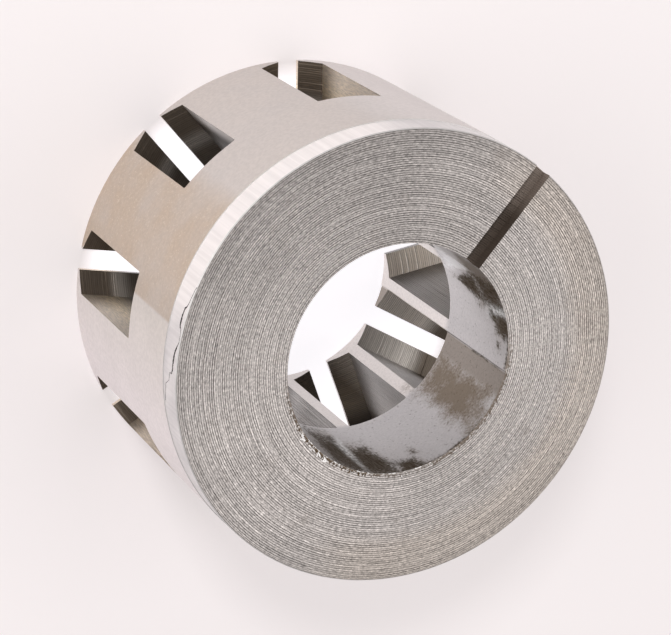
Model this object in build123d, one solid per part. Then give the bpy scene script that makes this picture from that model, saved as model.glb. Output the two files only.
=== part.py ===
from build123d import *
from build123d import SkipClean
import os
from math import cos, radians, sin

# Stator core of an axial-flux motor. One long electrical-steel strip is wound like a roll of
# tape into a thick ring, and the winding slots lie across the turns, open towards one end.
# The axis is on Z, the toothed end stands on Z = 0 and the plain yoke face is at the top.
# The first slot and the key groove both lie along +X. All lengths are in millimetres.

# Ring
outer_radius = 65.0
bore_radius = 33.0
core_length = 84.0

# Winding slots, with parallel walls and half-closed mouths
slot_count = 9
slot_width = 19.2
slot_depth = 46.7
slot_corner_radius = 0.5
mouth_width = 6.2
tip_root_height = 4.5
tip_edge_height = 1.3

# Key groove across the yoke face
key_width = 5.2
key_depth = 3.6

# Band turned on the outside beside the yoke face, and the broken edge above it
register_length = 9.4
register_step = 0.2
edge_chamfer = 0.3

# Wound strip, with its coating
strip_pitch = 0.358
strip_end_angle = -63.5
strip_end_fade = 40.0

# Line between the turns, cut into the yoke face once for every few turns
turns_per_line = 9
line_width = 0.3
line_depth = 0.3
line_margin = 0.6

# Length by which a cutter runs past the surface that it cuts
overrun = 5.0


def polar_point(radius, angle):
    """Point at a radius and an angle in degrees, seen along the axis."""
    return (radius * cos(radians(angle)), radius * sin(radians(angle)))


def turned(*points):
    """Ring turned round the axis from the corners of its half section."""
    return revolve(Plane.XZ * make_face(Polyline(*points, close=True)), Axis.Z)


def plain_ring(low, high):
    """Layer of the ring between two heights."""
    return turned(
        (bore_radius, low),
        (outer_radius, low),
        (outer_radius, high),
        (bore_radius, high),
    )


def yoke_ring():
    """Layer above the slots, with the register band and the broken edge."""
    register_radius = outer_radius - register_step
    register_bottom = core_length - register_length
    return turned(
        (bore_radius, slot_depth),
        (outer_radius, slot_depth),
        (outer_radius, register_bottom),
        (register_radius, register_bottom),
        (register_radius, core_length - edge_chamfer),
        (register_radius - edge_chamfer, core_length),
        (bore_radius, core_length),
    )


def slot_cutter():
    """Slot along +X: a narrow mouth, the two sloping backs of the tooth tips, then the cavity."""
    half_mouth = mouth_width / 2
    half_slot = slot_width / 2
    outline = Polyline(
        (-half_mouth, -overrun),
        (half_mouth, -overrun),
        (half_mouth, tip_edge_height),
        (half_slot, tip_root_height),
        (half_slot, slot_depth),
        (-half_slot, slot_depth),
        (-half_slot, tip_root_height),
        (-half_mouth, tip_edge_height),
        close=True,
    )
    profile = make_face(outline)
    corners = profile.vertices().sort_by(Axis.Y)[-2:]
    profile = fillet(corners, slot_corner_radius)
    return extrude(Plane.YZ * profile, outer_radius + overrun)


def slot_cutters():
    """Slots at equal steps round the axis."""
    cutter = slot_cutter()
    return [Rot(0, 0, index * 360 / slot_count) * cutter for index in range(slot_count)]


def key_cutter():
    """Straight groove along +X, from the bore to the outside."""
    reach = outer_radius + overrun
    floor = core_length - key_depth
    block = Box(reach, key_width, key_depth + overrun, align=(Align.MIN, Align.CENTER, Align.MIN))
    return Pos(0, 0, floor) * block


def strip_end_cutter():
    """Crescent beside the strip's inner end: one strip deep there, fading out into the bore."""
    end = strip_end_angle
    step_top = polar_point(bore_radius + strip_pitch, end)
    middle = polar_point(bore_radius + strip_pitch / 2, end - strip_end_fade / 2)
    tail = polar_point(bore_radius - strip_pitch / 4, end - strip_end_fade)
    inside = polar_point(bore_radius - overrun, end)
    outline = Wire([
        Line(inside, step_top),
        ThreePointArc(step_top, middle, tail),
        Line(tail, inside),
    ])
    return Pos(0, 0, -overrun) * extrude(make_face(outline), core_length + 2 * overrun)


def spiral_arcs(first_radius, pitch, half_turns):
    """Spiral of half circles round two centres, which stand half a pitch apart on the X axis."""
    arcs = []
    for index in range(half_turns):
        side = 1 if index % 2 == 0 else -1
        centre = -side * pitch / 4
        radius = first_radius + pitch / 4 + index * pitch / 2
        start = (centre + side * radius, 0)
        top = (centre, side * radius)
        end = (centre - side * radius, 0)
        arcs.append(ThreePointArc(start, top, end))
    return arcs


def turn_line_cutter():
    """Spiral line between the turns on the yoke face, from the bore to the broken edge."""
    pitch = turns_per_line * strip_pitch
    first = bore_radius + line_margin
    last = outer_radius - register_step - edge_chamfer - line_margin
    half_turns = int(2 * (last - first - line_width) / pitch)
    inner = spiral_arcs(first, pitch, half_turns)
    outer = spiral_arcs(first + line_width, pitch, half_turns)
    ends = [Line(inner[0] @ 0, outer[0] @ 0), Line(inner[-1] @ 1, outer[-1] @ 1)]
    profile = make_face(Wire(inner + outer + ends))
    return Pos(0, 0, core_length - line_depth) * extrude(profile, line_depth + overrun)


def wound_core():
    """Whole core as one solid. The walls of tips, teeth and yoke stay faces of their own."""
    with SkipClean():
        core = plain_ring(0, tip_root_height) + plain_ring(tip_root_height, slot_depth)
        core += yoke_ring()
        core -= slot_cutters()
        core -= key_cutter()
        core -= strip_end_cutter()
        core -= turn_line_cutter()
    return core


os.makedirs("parts", exist_ok=True)
core = wound_core()
core.label = "wound_core"
export_step(core, "parts/wound_core.step")
print("wound_core volume", round(core.volume))
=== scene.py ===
"""Looks of a strip-wound stator core: its wound and slotted ring, burrs, and a pale studio floor."""

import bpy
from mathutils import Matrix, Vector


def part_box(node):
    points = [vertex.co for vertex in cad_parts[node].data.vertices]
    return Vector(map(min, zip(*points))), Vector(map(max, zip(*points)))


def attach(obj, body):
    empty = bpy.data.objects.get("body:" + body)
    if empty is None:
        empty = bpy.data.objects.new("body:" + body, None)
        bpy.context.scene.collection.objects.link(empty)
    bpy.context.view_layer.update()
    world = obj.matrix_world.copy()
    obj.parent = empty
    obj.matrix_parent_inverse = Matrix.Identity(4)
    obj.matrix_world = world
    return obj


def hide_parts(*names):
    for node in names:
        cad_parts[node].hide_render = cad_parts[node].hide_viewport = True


bl_info = {
    "name": "Wound Stator Core",
    "version": (1, 0, 0),
    "blender": (4, 5, 0),
    "location": "3D View > Sidebar > Stator",
    "description": "Builds the visible surfaces of a strip-wound stator core",
    "category": "Add Mesh",
}

import bpy
import numpy as np
from bpy.props import FloatProperty, FloatVectorProperty, PointerProperty
from mathutils import Matrix, Vector

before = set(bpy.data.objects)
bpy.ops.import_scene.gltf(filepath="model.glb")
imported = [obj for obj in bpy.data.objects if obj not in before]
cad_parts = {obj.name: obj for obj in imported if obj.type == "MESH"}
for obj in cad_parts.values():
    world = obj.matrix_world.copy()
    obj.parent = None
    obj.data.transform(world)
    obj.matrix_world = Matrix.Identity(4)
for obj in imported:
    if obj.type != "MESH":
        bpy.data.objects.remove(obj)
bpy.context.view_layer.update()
_, core_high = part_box("wound_core")

MM = 0.001
SLOT_COUNT = 9
SEED = 11
TINY = 1e-9

# Width of the camera's sensor, in millimetres
SENSOR = 36

# Radii of the outside and of the bore, and the mean of the two, in millimetres
OUTER_RADIUS = core_high.x / MM
BORE_RADIUS = 33
MEAN_RADIUS = (OUTER_RADIUS + BORE_RADIUS) / 2


def linear(code):
    """sRGB hex colour as linear red, green and blue."""
    parts = [int(code[i:i + 2], 16) / 255 for i in (1, 3, 5)]
    return tuple(p / 12.92 if p <= 0.04045 else ((p + 0.055) / 1.055) ** 2.4 for p in parts)


def length(name, description, millimetres):
    """Length property that a user can change, with its default in millimetres."""
    return FloatProperty(
        name=name, description=description, default=millimetres * MM, min=0,
        subtype="DISTANCE", unit="LENGTH", precision=5,
    )


def colour(name, description, code):
    """Colour property with its default as an sRGB hex value."""
    return FloatVectorProperty(
        name=name, description=description, default=linear(code), size=3, min=0, max=1, subtype="COLOR",
    )


def angle(name, description, degrees):
    """Angle property with its default in degrees."""
    return FloatProperty(name=name, description=description, default=np.radians(degrees), subtype="ANGLE")


class StatorSizes(bpy.types.PropertyGroup):
    """Sizes of the wound core."""

    outer_radius: length("Outer radius", "Radius of the wound ring", OUTER_RADIUS)
    bore_radius: length("Bore radius", "Radius of the hole through the ring", BORE_RADIUS)
    core_length: length("Length", "From the toothed end to the yoke face", core_high.z / MM)
    slot_width: length("Slot width", "Between the parallel walls of a slot", 19.2)
    slot_depth: length("Slot depth", "From the toothed end to the floor of a slot", 46.7)
    corner_radius: length("Slot corner", "Radius in the corners of a slot's floor", 0.5)
    mouth_width: length("Slot mouth", "Opening between two tooth tips", 6.2)
    tip_root: length("Tip root", "Height of a tooth tip at the slot wall", 4.5)
    tip_edge: length("Tip edge", "Height of a tooth tip at the mouth", 1.3)
    key_width: length("Key width", "Width of the key groove", 5.2)
    key_depth: length("Key depth", "Depth of the key groove", 3.6)
    band_length: length("Band length", "Turned band beside the yoke face", 9.4)
    band_step: length("Band step", "Depth of the turned band", 0.2)
    chamfer: length("Broken edge", "Chamfer between the band and the yoke face", 0.3)
    line_pitch: length("Line pitch", "Distance between the drawn lines of the winding", 0.62)
    line_width: length("Line width", "Width of the gap between two drawn turns", 0.17)
    line_depth: length("Line depth", "Depth of the gap between two drawn turns", 0.13)
    line_margin: length("Line margin", "Plain edge inside the first drawn line", 0.4)
    land_tilt: length("Land tilt", "Height by which the edges of a turn differ", 0.02)
    strip: length("Strip", "Thickness of the wound strip", 0.358)
    strip_end: angle("Strip end", "Where the strip begins in the bore", -63.1)
    strip_fade: angle("Strip fade", "Arc over which the first turn's step fades out", 40)


class StatorColours(bpy.types.PropertyGroup):
    """Colours of the finishes."""

    ground: colour("Ground edges", "Edges of the turns on the ground faces", "#C6BEBA")
    ground_warm: colour("Ground edges outside", "Edges of the outer turns on the ground faces", "#C9BEB6")
    ground_dark: colour("Gaps", "Gaps between the turns on the ground faces", "#3B3532")
    band: colour("Turned band", "Freshly turned steel beside the yoke face", "#F6F2F0")
    # The turned band's near-white colour is partly a painted reflection, and the worn band is the band
    # without it.
    band_out_of_reflection: colour("Worn band", "Duller stretches of the turned band", "#CCC9CA")
    outer: colour("Outer strip", "Coated strip on the outside", "#CBC5C2")
    outer_beige: colour("Outer tarnish", "Tarnished patch on the outside", "#BCAA98")
    outer_pale: colour("Outer pale", "Palest strip on the outside", "#E6DEDE")
    outer_light: colour("Outer light", "Lighter strip beside the tarnished patch", "#CFC8C2")
    bore: colour("Bore", "Rolled strip in the bore", "#CCC8C7")
    stain: colour("Stain", "Dried oil in the bore", "#3A2A14")
    stain_soft: colour("Soft stain", "Thin brown film in the bore", "#7D6F5E")
    # The glare is a painted highlight.
    glare: colour("Glare", "Polished streaks beside the oil in the bore", "#FFFFFF")
    # The pale tooth ends are painted light.
    tooth_ends_painted_light: colour("Tooth ends", "Rubbed ends of the teeth in the bore", "#F0E9E4")
    slot: colour("Slot walls", "Cut edges of the outer turns in the slots", "#5C4C3F")
    slot_bright: colour("Slot walls near the bore", "Cut edges of the inner turns in the slots", "#C9C5C2")
    # The rubbed colour of the slot walls is painted light, with a hatch of marks drawn on it.
    slot_walls_painted_light: colour("Rubbed slot walls", "Slot walls that are bright over their whole length", "#E6D6BD")
    slot_dark: colour("Slot gaps", "Gaps between the turns in the slots", "#332B27")
    # The burnished ends of the slot walls are painted light.
    slot_ends_painted_light: colour("Slot walls outside", "Burnished ends of the slot walls at the outside", "#EEE7E2")
    # The tips' burnished colour is painted light, and their colour still dark with oxide is painted shade.
    tip: colour("Tooth tips", "Backs of the tooth tips, burnished", "#EEE6DE")
    tip_painted_shade: colour("Dark tooth tips", "Backs of the tooth tips, still dark with oxide", "#655F59")
    tip_outer: colour("Tooth tips outside", "Backs of the tooth tips near the outside", "#665B50")
    dirt: colour("Dirt", "Brown dirt along the bore's edge", "#6B5A49")
    speck: colour("Specks", "Pale specks on the tarnished patch", "#E9E2D6")
    groove: colour("Key groove", "Milled groove near the bore", "#54483F")
    groove_end: colour("Key groove end", "Milled groove near the outside", "#80736A")
    edge: colour("Broken edge", "Chamfer between the band and the yoke face", "#CCC8C6")
    burr: colour("Burrs", "Bright torn burrs at the bore's edge", "#F4F0EE")
    seam: colour("Seam", "Open end of the outer turn on the band", "#15110F")


class StatorStage(bpy.types.PropertyGroup):
    """Floor, lamps and camera."""

    place: FloatVectorProperty(
        name="Camera", description="Where the camera stands", size=3, subtype="XYZ", unit="LENGTH",
        default=(-0.001536, 0.366164, 0.686867),
    )
    aim: FloatVectorProperty(
        name="Aim", description="Point that the camera looks at", size=3, subtype="XYZ", unit="LENGTH",
        default=(-0.00142, 0.02404, 0.084),
    )
    roll: angle("Roll", "Turn of the camera round its own line of sight", 127.2)
    lens: FloatProperty(name="Lens", description="Focal length on a 36 mm wide sensor", default=139.03, min=1)
    floor_size: FloatProperty(
        name="Floor", description="Side of the floor", default=6, subtype="DISTANCE", unit="LENGTH",
    )
    floor: colour("Floor", "Pale studio floor", "#F8EFEF")
    floor_shade: colour("Floor shade", "Share of the lamps that the floor shows, for its shadow", "#C3BEBE")
    floor_glow: FloatProperty(
        name="Floor glow", description="Brightness of the floor in itself, near the core",
        default=0.39, min=0,
    )
    far_glow: FloatProperty(
        name="Far glow", description="Brightness of the floor in itself, far from the core",
        default=0.75, min=0,
    )
    # Painted light on the floor inside the ring, where the core's shadow falls.
    floor_painted_light_under: colour("Floor under the core", "Brightness of the floor inside the ring", "#EEECF0")
    world: FloatProperty(name="World", description="Even light from all sides", default=0.42, min=0)


def add(tree, kind, inputs=(), out=0, **settings):
    """New shader node with its settings, each input a value or a link. Gives back one of its outputs."""
    made = tree.nodes.new("ShaderNode" + kind)
    for name, value in settings.items():
        setattr(made, name, value)
    for key, value in inputs.items() if isinstance(inputs, dict) else enumerate(inputs):
        if isinstance(value, bpy.types.NodeSocket):
            tree.links.new(value, made.inputs[key])
        elif made.inputs[key].type == "RGBA":
            made.inputs[key].default_value = (*value, 1)
        else:
            made.inputs[key].default_value = value
    return made.outputs[out] if len(made.outputs) else made


# Settings of a Map Range node that eases in and out, and of a Mix node for colours with its colour output
SMOOTH = {"interpolation_type": "SMOOTHSTEP"}
COLOUR = {"data_type": "RGBA", "out": 2}


def finish(name, metallic, roughness):
    """Material with one Principled shader, as (material, tree, shader)."""
    material = bpy.data.materials.new(name)
    material.use_nodes = True
    tree = material.node_tree
    shader = tree.nodes["Principled BSDF"]
    shader.inputs["Metallic"].default_value = metallic
    shader.inputs["Roughness"].default_value = roughness
    return material, tree, shader


def arcsine(share):
    """Angle whose sine is a share, held between -1 and 1."""
    return np.arcsin(np.clip(share, -1, 1))


# Columns in the half tooth beside a slot wall, as shares of the way to the tooth's middle
TOOTH_SHARES = (0.14, 0.42, 0.71)


def column_plan(sizes):
    """Columns of the grid round the ring, in order from the groove's first wall.

    Each is a sector, a side, a distance from the slot's middle plane, and a share of the way from
    the slot wall to the middle of the tooth.
    """
    key = sizes.key_width / 2
    mouth = sizes.mouth_width / 2
    wall = sizes.slot_width / 2
    round_start = wall - sizes.corner_radius
    inside = [key, mouth, (mouth + wall) / 2, round_start, wall]
    half = [(offset, 0.0) for offset in inside] + [(wall, share) for share in TOOTH_SHARES]
    sector = [(0, 0.0, 0.0)] + [(1, *pair) for pair in half] + [(1, wall, 1.0)]
    sector += [(-1, *pair) for pair in reversed(half)]
    # the sector runs on from the tooth's middle to the next slot, so its minus side belongs to the next one
    plan = []
    for index in range(SLOT_COUNT):
        for side, offset, share in sector:
            belongs = index + 1 if side < 0 else index
            plan.append((belongs, side, offset, share))
    # the first column, in the middle of the groove, goes to the end
    plan = plan[1:] + plan[:1]
    columns = np.array(plan, float)
    columns[-1, 0] = SLOT_COUNT
    return columns


def column_angles(columns, radii, sizes, offsets):
    """Angle of each column at each radius.

    A column at a distance d from the slot's plane lies at the slot's angle plus arcsin(d / r); one in
    the tooth lies a share of the way on from the slot wall to the tooth's middle.
    """
    pitch = 2 * np.pi / SLOT_COUNT
    shape = (-1,) + (1,) * (radii.ndim - 1)
    sector, side, share = (columns[:, i].reshape(shape) for i in (0, 1, 3))
    at_wall = arcsine(sizes.slot_width / 2 / radii)
    lean = arcsine(offsets / radii) + share * (pitch / 2 - at_wall)
    return sector * pitch + side * lean


# How the gaps between the turns differ from one another: shares of the line's width and depth, lobes of the
# waves that open and close them, how strong those are, and the least and the most that they leave
GAP_WIDTHS = (0.7, 1.35)
GAP_DEPTHS = (0.3, 1.4)
GAP_LOBES = (2, 5, 9)
WAVE_SHARE = 0.5
WAVE_LIMITS = (0.15, 2.2)
FIRST_GAP_SHARE = 2.5

# Share of a gap's depth on the tooth tips, on the floors of the slots and on the walls across the turns
TIP_SHARE = 0.15
FLOOR_SHARE = 0.3
WALL_SHARE = 0.2

# Level between the tips and the floors of the slots, as a share of their depth
MIDDLE_SHARE = 0.55

# Angle in radians that a column may lie before the strip's end and still take its whole step
END_SLACK = 1e-3

# Turns counted on past the last line, at the four radial lines of the rim
RIM_COUNTS = (0.75, 1, 1.25, 1.5)


def gap_depths(rng, plain, lines, sizes):
    """Depth of every radial line of the grid below the cut surface, for each column.

    A gap's depth is its own share of the line's depth, times one plus half the sum of three sine waves
    round the ring. The two edges beside it lie a little below the surface too, so that each turn tilts.
    """
    phases = rng.uniform(0, 2 * np.pi, (lines, len(GAP_LOBES)))
    waves = np.sin(plain[:, None, None] * np.array(GAP_LOBES) + phases).sum(-1)
    own = sizes.line_depth * rng.uniform(*GAP_DEPTHS, lines)
    depths = own * np.clip(1 + WAVE_SHARE * waves, *WAVE_LIMITS)
    depths[:, 0] = FIRST_GAP_SHARE * sizes.line_depth
    edges = np.abs(rng.uniform(-1, 1, (2, lines)) * sizes.land_tilt) + 0 * depths[:, None, :]
    sunk = np.stack([edges[:, 0], depths, edges[:, 1]], -1).reshape(len(plain), -1)
    # the bore's line, the three of the groove at the rim and the outside's follow, with one gap among them
    sunk = np.pad(sunk, ((0, 0), (1, 4)))
    sunk[:, -3] = sizes.line_depth
    return sunk


def core_grid(sizes):
    """Points of the ring's grid of columns, radial lines and levels, and the two numbers of the pattern.

    A line of the winding has a radius that grows by one pitch in one turn round the axis, from one wall
    of the key groove to the other. Each gap between two turns is a shallow V, sunk in every cut surface.
    """
    rng = np.random.default_rng(SEED)
    columns = column_plan(sizes)
    count = len(columns)
    pitch, half_gap = sizes.line_pitch, sizes.line_width / 2
    inner, outer = sizes.bore_radius, sizes.outer_radius
    rim = outer - sizes.band_step - sizes.chamfer
    lines = int((rim - inner - sizes.line_margin - 2 * sizes.line_width) / pitch)
    # radial lines: bore, three for each gap, three for the groove at the rim, outside
    centres = inner + sizes.line_margin + pitch * np.arange(lines)
    widths = half_gap * rng.uniform(*GAP_WIDTHS, lines)
    radial = np.stack([centres - widths, centres, centres + widths], 1).ravel()
    rim_lines = [rim - sizes.line_width, rim - half_gap, rim, outer]
    radial = np.concatenate([[inner], radial, rim_lines])
    mean = np.full((count, 1), (inner + outer) / 2)
    plain = column_angles(columns, mean, sizes, columns[:, 2:3])[:, 0]
    sunk = gap_depths(rng, plain, lines, sizes)
    # spiral: each column moves the lines out by its share of one turn
    turn = (plain - plain[0]) / (plain[-2] - plain[0])
    turn[-1] = 0.5
    moved = np.repeat(radial[None, :], count, 0)
    moved[:, 1:-4] += pitch * turn[:, None]

    top, floor = sizes.core_length, sizes.core_length - sizes.key_depth
    band = top - sizes.band_length
    slot_top = sizes.slot_depth
    # the band's step is a cone, a quarter as high as it is deep
    levels = np.array([
        0, sizes.tip_root, slot_top * MIDDLE_SHARE, slot_top - sizes.corner_radius, slot_top,
        (slot_top + band) / 2, band, band + sizes.band_step / 4, (band + floor) / 2, floor, top,
    ])
    k_tip, k_slot, k_band, k_floor, k_top = 1, 4, 7, 9, 10
    shape = (count, len(radial), len(levels))
    z = np.broadcast_to(levels, shape).copy()
    r = np.broadcast_to(moved[:, :, None], shape).copy()
    offset = np.broadcast_to(columns[:, 2][:, None, None], shape).copy()

    # tooth tips slope down from the slot wall to the mouth
    mouth, wall = sizes.mouth_width / 2, sizes.slot_width / 2
    slope = np.clip((columns[:, 2] - mouth) / (wall - mouth), 0, 1)
    z[:, :, k_tip] = (sizes.tip_edge + (sizes.tip_root - sizes.tip_edge) * slope)[:, None]
    # the corners of the slot floor are rounded
    at_wall = (np.abs(columns[:, 2] - wall) < TINY) & (columns[:, 3] == 0)
    cut = sizes.corner_radius * (1 - np.sqrt(0.5))
    z[at_wall, :, k_slot] -= cut
    offset[at_wall, :, k_slot] -= cut
    # gaps between the turns are sunk in every cut surface
    z[:, :, 0] += sunk
    z[:, :, k_tip] -= sunk * TIP_SHARE
    z[:, :, k_slot] += sunk * FLOOR_SHARE
    z[:, :, k_floor] -= sunk
    z[:, :, k_top] -= sunk
    for edge in (sizes.key_width / 2, mouth, wall):
        at_edge = (np.abs(columns[:, 2] - edge) < TINY) & (columns[:, 3] == 0)
        offset[at_edge] += sunk[at_edge, :, None] * WALL_SHARE
    # outside, the turned band and the broken edge stand back
    r[:, -1, k_band:] -= sizes.band_step
    z[:, -1, k_top] -= sizes.chamfer
    # in the bore, the first turn's end makes a step of one strip, which fades out behind it
    bore_angle = column_angles(columns, np.full((count, 1), inner), sizes, columns[:, 2:3])[:, 0]
    behind = sizes.strip_end + 2 * np.pi - bore_angle
    stepped = (behind > -END_SLACK) & (behind < sizes.strip_fade)
    recess = np.where(stepped, 1 - behind / sizes.strip_fade, 0)
    r[:, 0, :] += (sizes.strip * np.clip(recess, 0, 1))[:, None]

    theta = column_angles(columns, r, sizes, offset)
    points = np.stack([r * np.cos(theta), r * np.sin(theta), z], -1)
    count_lines = (moved - inner - sizes.line_margin) / pitch - turn[:, None]
    count_lines[:, -4:] = lines + np.array(RIM_COUNTS)
    levels_of = {"tip": k_tip, "slot": k_slot, "band": k_band, "floor": k_floor, "top": k_top}
    return columns, points, theta, r, z, count_lines, levels_of


def solid_cells(columns, sizes, level_of, level_count):
    """Which cells between two columns and two levels hold steel."""
    offsets = columns[:, 2] * columns[:, 1]
    following = np.roll(offsets, -1)
    in_tooth = (columns[:, 3] > 0) | (np.roll(columns[:, 3], -1) > 0)
    middle = np.abs(offsets + following) / 2
    solid = np.ones((len(columns), level_count - 1), bool)
    slot = ~in_tooth & (middle < sizes.slot_width / 2)
    mouth = ~in_tooth & (middle < sizes.mouth_width / 2)
    solid[slot, level_of["tip"]:level_of["slot"]] = False
    solid[mouth, :level_of["slot"]] = False
    solid[[-2, -1], level_of["floor"]:] = False
    return solid


# Finishes of the core, numbered in the order of its materials
GROUND, GROOVE, SLOT, BORE, OUTER, BAND, EDGE, TIP = range(8)


def core_faces(columns, points, theta, r, z, lines, level_of, sizes):
    """Quads on every side of the grid's solid cells, with their finish and their place in the pattern.

    A face lies wherever a solid cell meets an empty one. The pattern's first number counts the lines of
    the winding on a cut surface, or the arc in millimetres on a rolled one. The second is a length in
    millimetres along the turn, or the height.
    """
    count, rings, level_count = points.shape[:3]
    solid = solid_cells(columns, sizes, level_of, level_count)
    after = np.append(np.arange(1, count), 0)
    index = np.arange(count * rings * level_count).reshape(count, rings, level_count)
    arc = (sizes.bore_radius + sizes.outer_radius) / 2
    quads, finishes, patterns = [], [], []

    def emit(corners, pattern, kind, flip):
        corners, pattern = np.stack(corners, -1), np.stack(pattern, -2)
        corners = corners.reshape(-1, 4)
        pattern = pattern.reshape(-1, 4, 2)
        if flip:
            corners, pattern = corners[:, ::-1], pattern[:, ::-1]
        quads.append(corners)
        patterns.append(pattern)
        finishes.append(np.full(len(corners), kind) if np.isscalar(kind) else kind.ravel())

    def cut_pattern(c, i, along):
        return np.stack(np.broadcast_arrays(lines[c, i], along / MM), -1)

    # surfaces across the axis
    for k in range(level_count):
        below = solid[:, k - 1] if k > 0 else np.zeros(count, bool)
        above = solid[:, k] if k < level_count - 1 else np.zeros(count, bool)
        for wanted, flip in ((above & ~below, False), (below & ~above, True)):
            c = np.flatnonzero(wanted)
            if not len(c):
                continue
            c0, c1 = c[:, None], after[c][:, None]
            once = np.where(c1 == 0, 2 * np.pi, 0.0)
            i = np.arange(rings - 1)[None, :]
            corners = [index[c0, i, k], index[c1, i, k], index[c1, i + 1, k], index[c0, i + 1, k]]
            where = [
                cut_pattern(c0, i, theta[c0, i, k] * arc),
                cut_pattern(c1, i, (theta[c1, i, k] + once) * arc),
                cut_pattern(c1, i + 1, (theta[c1, i + 1, k] + once) * arc),
                cut_pattern(c0, i + 1, theta[c0, i + 1, k] * arc),
            ]
            kind = np.full((len(c), rings - 1), GROUND)
            if k == level_of["tip"]:
                kind[:] = TIP
            elif k == level_of["slot"]:
                kind[:] = SLOT
            elif k == level_of["floor"]:
                kind[:] = GROOVE
            elif k == level_of["top"]:
                kind[:, -1] = EDGE
            emit(corners, where, kind, flip)
    # surfaces along the axis, across the turns
    before = np.roll(solid, 1, axis=0)
    for wanted, flip in ((solid & ~before, False), (before & ~solid, True)):
        c, k = np.nonzero(wanted)
        c0, k0 = c[:, None], k[:, None]
        i = np.arange(rings - 1)[None, :]
        corners = [index[c0, i, k0], index[c0, i + 1, k0], index[c0, i + 1, k0 + 1], index[c0, i, k0 + 1]]
        where = [
            cut_pattern(c0, i, z[c0, i, k0]),
            cut_pattern(c0, i + 1, z[c0, i + 1, k0]),
            cut_pattern(c0, i + 1, z[c0, i + 1, k0 + 1]),
            cut_pattern(c0, i, z[c0, i, k0 + 1]),
        ]
        kind = np.where(k0 >= level_of["floor"], GROOVE, SLOT) + np.zeros_like(i)
        emit(corners, where, kind, flip)
    # bore and outside
    c, k = np.nonzero(solid)
    c1 = after[c]
    once = np.where(c1 == 0, 2 * np.pi, 0.0)
    for i, radius, flip in ((0, sizes.bore_radius, True), (rings - 1, sizes.outer_radius, False)):
        corners = [index[c, i, k], index[c1, i, k], index[c1, i, k + 1], index[c, i, k + 1]]

        def rolled(column, level, more):
            return np.stack([(theta[column, i, level] + more) * radius, z[column, i, level]], -1) / MM

        where = [rolled(c, k, 0), rolled(c1, k, once), rolled(c1, k + 1, once), rolled(c, k + 1, 0)]
        if i:
            kind = np.where(k >= level_of["band"], BAND, np.where(k == level_of["band"] - 1, EDGE, OUTER))
        else:
            kind = np.full(len(c), BORE)
        emit(corners, where, kind, flip)
    return np.concatenate(quads), np.concatenate(finishes), np.concatenate(patterns)


# Angles in degrees past which an edge looks sharp, on the core and on the small pieces
CORE_SHARP = 28
SMALL_SHARP = 40


def solid_mesh(name, points, quads, finishes, patterns, materials, sharp):
    """Mesh object from whole arrays, without the points that no face uses."""
    used, compact = np.unique(quads, return_inverse=True)
    compact = compact.reshape(quads.shape).astype(np.int32)
    mesh = bpy.data.meshes.new(name)
    mesh.vertices.add(len(used))
    mesh.vertices.foreach_set("co", points[used].astype(np.float32).ravel())
    mesh.loops.add(compact.size)
    mesh.loops.foreach_set("vertex_index", compact.ravel())
    mesh.polygons.add(len(compact))
    mesh.polygons.foreach_set("loop_start", np.arange(0, compact.size, 4, dtype=np.int32))
    mesh.polygons.foreach_set("material_index", finishes.astype(np.int32))
    mesh.update(calc_edges=True)
    if patterns is not None:
        layer = mesh.uv_layers.new(name="pattern")
        layer.data.foreach_set("uv", patterns.astype(np.float32).ravel())
    mesh.polygons.foreach_set("use_smooth", np.ones(len(compact), bool))
    mesh.set_sharp_from_angle(angle=np.radians(sharp))
    for material in materials:
        mesh.materials.append(material)
    made = bpy.data.objects.new(name, mesh)
    bpy.context.scene.collection.objects.link(made)
    return made


def small_mesh(name, points, quads, material):
    """Mesh object with one finish, which needs no pattern of its own."""
    return solid_mesh(name, points, quads, np.zeros(len(quads)), None, [material], SMALL_SHARP)


# Ranges of a noise's value, from nearly all of it to its middle part
WIDE = (0.25, 0.75)
MIDDLE = (0.3, 0.7)
NARROW = (0.35, 0.65)

# Grains on the cut surfaces, with their width in turns and their length in millimetres. The marks of a
# grinding wheel and of a punch are finer, and are drawn as coarse as the picture shows them.
DASH = (0.5882, 1.111)
HATCH = (0.625, 2.857)
DRIFT_LENGTH = 20

# Grains on the rolled and turned surfaces, with their width and length in millimetres
ROLLING_STREAK = (0.7143, 3.333)
CHATTER_MARK = (1.4286, 100)

# Turns, counted outwards, over which a cut surface takes on the look that it has at the outside
OUTER_TURNS = (24, 38)
LAST_TURNS = (36, 50)
# the last of them are where the outer ends of the slot walls take on painted light
PAINTED_LIGHT_TURNS = (37, 49)

# Reach of Y, in metres, over which the slots on one side of the core give way to those on the other
SIDES = (-0.01, 0.01)


# Patterns on Object coordinates have the grain widths that the picture shows, in millimetres. The grain of
# the rolls and the grinding dust are a tenth of a millimetre on real strip, and are drawn at 0.6 to 1.1 mm,
# which is the finest that the picture can show.


def per_metre(millimetres):
    """Scale that gives a noise on Object coordinates grains of one width: one over that width in metres."""
    return 1 / (millimetres * MM)


def pattern_of(tree):
    """The mesh's own pattern, as (first number, second number)."""
    uv = add(tree, "UVMap", uv_map="pattern")
    return add(tree, "SeparateXYZ", (uv,)), add(tree, "SeparateXYZ", (uv,), out=1)


def drawn_out(tree, width, length, detail, roughness=0.5):
    """Noise that follows the mesh's own pattern, with a grain's width and length in its two numbers."""
    first, second = pattern_of(tree)
    place = add(tree, "CombineXYZ", (
        add(tree, "Math", (first, width), operation="DIVIDE"),
        add(tree, "Math", (second, length), operation="DIVIDE"),
    ))
    return add(tree, "TexNoise", {"Vector": place, "Scale": 1.0, "Detail": detail, "Roughness": roughness})


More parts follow.
